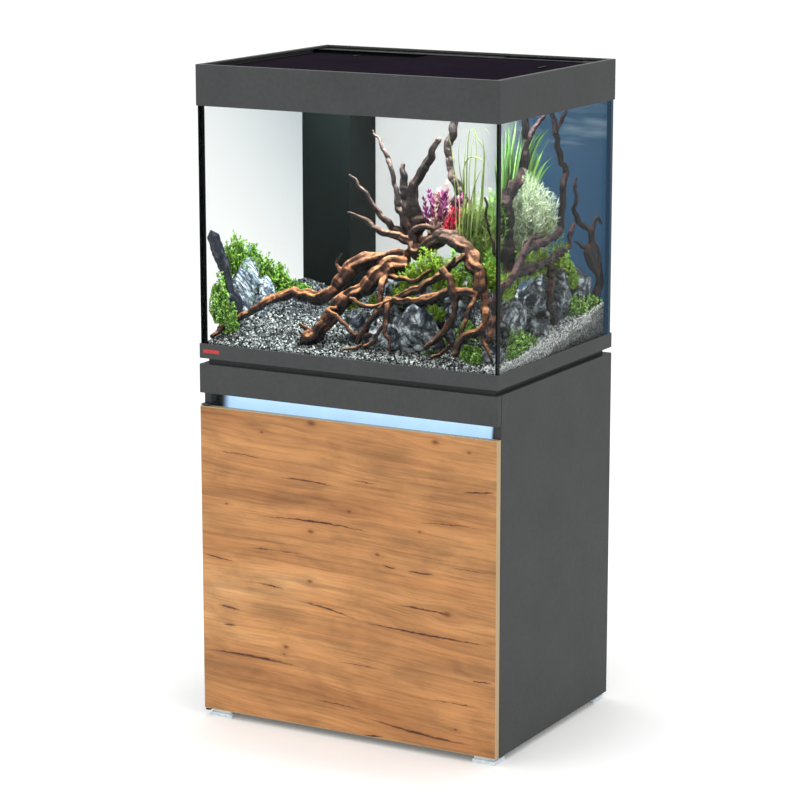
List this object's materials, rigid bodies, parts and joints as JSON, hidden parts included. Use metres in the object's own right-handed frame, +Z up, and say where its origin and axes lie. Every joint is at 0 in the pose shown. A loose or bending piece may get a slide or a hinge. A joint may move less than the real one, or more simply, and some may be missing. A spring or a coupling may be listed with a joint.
{
  "type": "aquarium on stand",
  "caption": "Planted glass aquarium with a hood and sliding lids on a cabinet with one oak door, a lit finger gap and a canister filter inside.",
  "frame": {"origin": "on the floor under the middle of the cabinet", "axes": "+Z up, -Y out of the front (door) side, +X to the right seen from the front"},
  "size_m": [0.73, 0.55, 1.45],
  "materials": {
    "graphite_board": "graphite melamine-faced board, satin",
    "oak_board": "golden oak decor, fine matt grain",
    "edge_band": "khaki ABS edge band",
    "graphite_frame": "graphite powder coat, satin",
    "clear_glass": "clear float glass",
    "dark_glass": "nearly black tinted glass",
    "silicone": "black silicone, smooth",
    "film": "printed film, white fading to deep blue",
    "mat": "closed-cell foam",
    "black_plastic": "black moulded plastic, fine grain",
    "grey_pipe": "grey moulded pipe",
    "steel": "zinc-plated steel",
    "black_steel": "black coated steel, satin",
    "lamp_housing": "anodised aluminium, satin",
    "lamp_lens": "milky lens, lit cool white",
    "lit_reflector": "white enamel, lit pale blue",
    "cabinet_lens": "milky lens, lit ice blue",
    "foot_clear": "cloudy clear plastic",
    "bumper": "soft clear bumper",
    "nylon": "natural nylon",
    "red_plate": "plain red enamel strip",
    "filter_grey": "dark grey moulded plastic",
    "filter_smoke": "black moulded can, fine grain",
    "clip_grey": "mid grey moulded clip",
    "hose": "smoky green-grey ribbed hose",
    "gravel": "mixed grey fine gravel",
    "driftwood": "wet red-brown root wood",
    "rock": "blue-grey veined rock",
    "plants": "fresh green leaves"
  },
  "bodies": {
    "stand_and_tank": {"left_side_panel": "graphite_board", "right_side_panel": "graphite_board", "bottom_panel": "graphite_board", "top_panel": "graphite_board", "back_panel": "graphite_board", "middle_partition": "graphite_board", "shelf": "graphite_board", "shelf_pins": "steel", "cam_locks": "steel", "fascia_rail": "graphite_board", "light_reflector": "lit_reflector", "cabinet_light_bar": "lamp_housing", "cabinet_light_diffuser": "cabinet_lens", "pivot_brackets": "black_steel", "foot_front_left": "foot_clear", "foot_front_right": "foot_clear", "foot_rear_left": "foot_clear", "foot_rear_right": "foot_clear", "fixing_screws": "steel", "base_riser": "graphite_board", "tank_base_frame": "graphite_frame", "badge_plate": "red_plate", "tank_mat": "mat", "glass_bottom": "clear_glass", "glass_front": "clear_glass", "glass_back": "clear_glass", "glass_left": "clear_glass", "glass_right": "clear_glass", "silicone_seams": "silicone", "background_film": "film", "hood_frame": "graphite_frame", "lid_tracks": "black_plastic", "service_strip": "black_plastic", "led_housings": "lamp_housing", "led_lenses": "lamp_lens", "led_brackets": "steel", "filter_shaft": "black_plastic", "suction_pipe": "grey_pipe", "return_pipe": "grey_pipe", "bulkheads": "black_plastic", "filter_can": "filter_smoke", "filter_head": "filter_grey", "suction_hose": "hose", "return_hose": "hose", "gravel_bed": "gravel", "driftwood": "driftwood", "rocks": "rock", "plants_left": "plants", "plants_right": "plants"},
    "door": {"door_panel": "oak_board", "door_edging": "edge_band", "pivot_bushes": "nylon", "door_bumpers": "bumper"},
    "lid_left": {"lid_left": "dark_glass", "lid_left_grip": "black_plastic"},
    "lid_right": {"lid_right": "dark_glass", "lid_right_grip": "black_plastic"},
    "nozzle": {"return_nozzle": "black_plastic"},
    "clip_left": {"filter_clip_left": "clip_grey"},
    "clip_right": {"filter_clip_right": "clip_grey"}
  },
  "joints": [
    {"name": "door_swing", "type": "hinge", "parent": "stand_and_tank", "child": "door", "pos_m": [-0.359, -0.267, 0.362], "axis": [0, 0, -1], "range_deg": [0, 110]},
    {"name": "lid_left_slide", "type": "slide", "parent": "stand_and_tank", "child": "lid_left", "axis": [1, 0, 0], "range_m": [0, 0.33]},
    {"name": "lid_right_slide", "type": "slide", "parent": "stand_and_tank", "child": "lid_right", "axis": [-1, 0, 0], "range_m": [0, 0.29]},
    {"name": "nozzle_turn", "type": "hinge", "parent": "stand_and_tank", "child": "nozzle", "pos_m": [-0.268, 0.117, 1.368], "axis": [0, 1, 0], "range_deg": [-90, 90]},
    {"name": "clip_left_turn", "type": "hinge", "parent": "stand_and_tank", "child": "clip_left", "pos_m": [-0.2555, 0.12, 0.341], "axis": [0, 1, 0], "range_deg": [0, 95]},
    {"name": "clip_right_turn", "type": "hinge", "parent": "stand_and_tank", "child": "clip_right", "pos_m": [-0.0445, 0.12, 0.341], "axis": [0, -1, 0], "range_deg": [0, 95]}
  ]
}
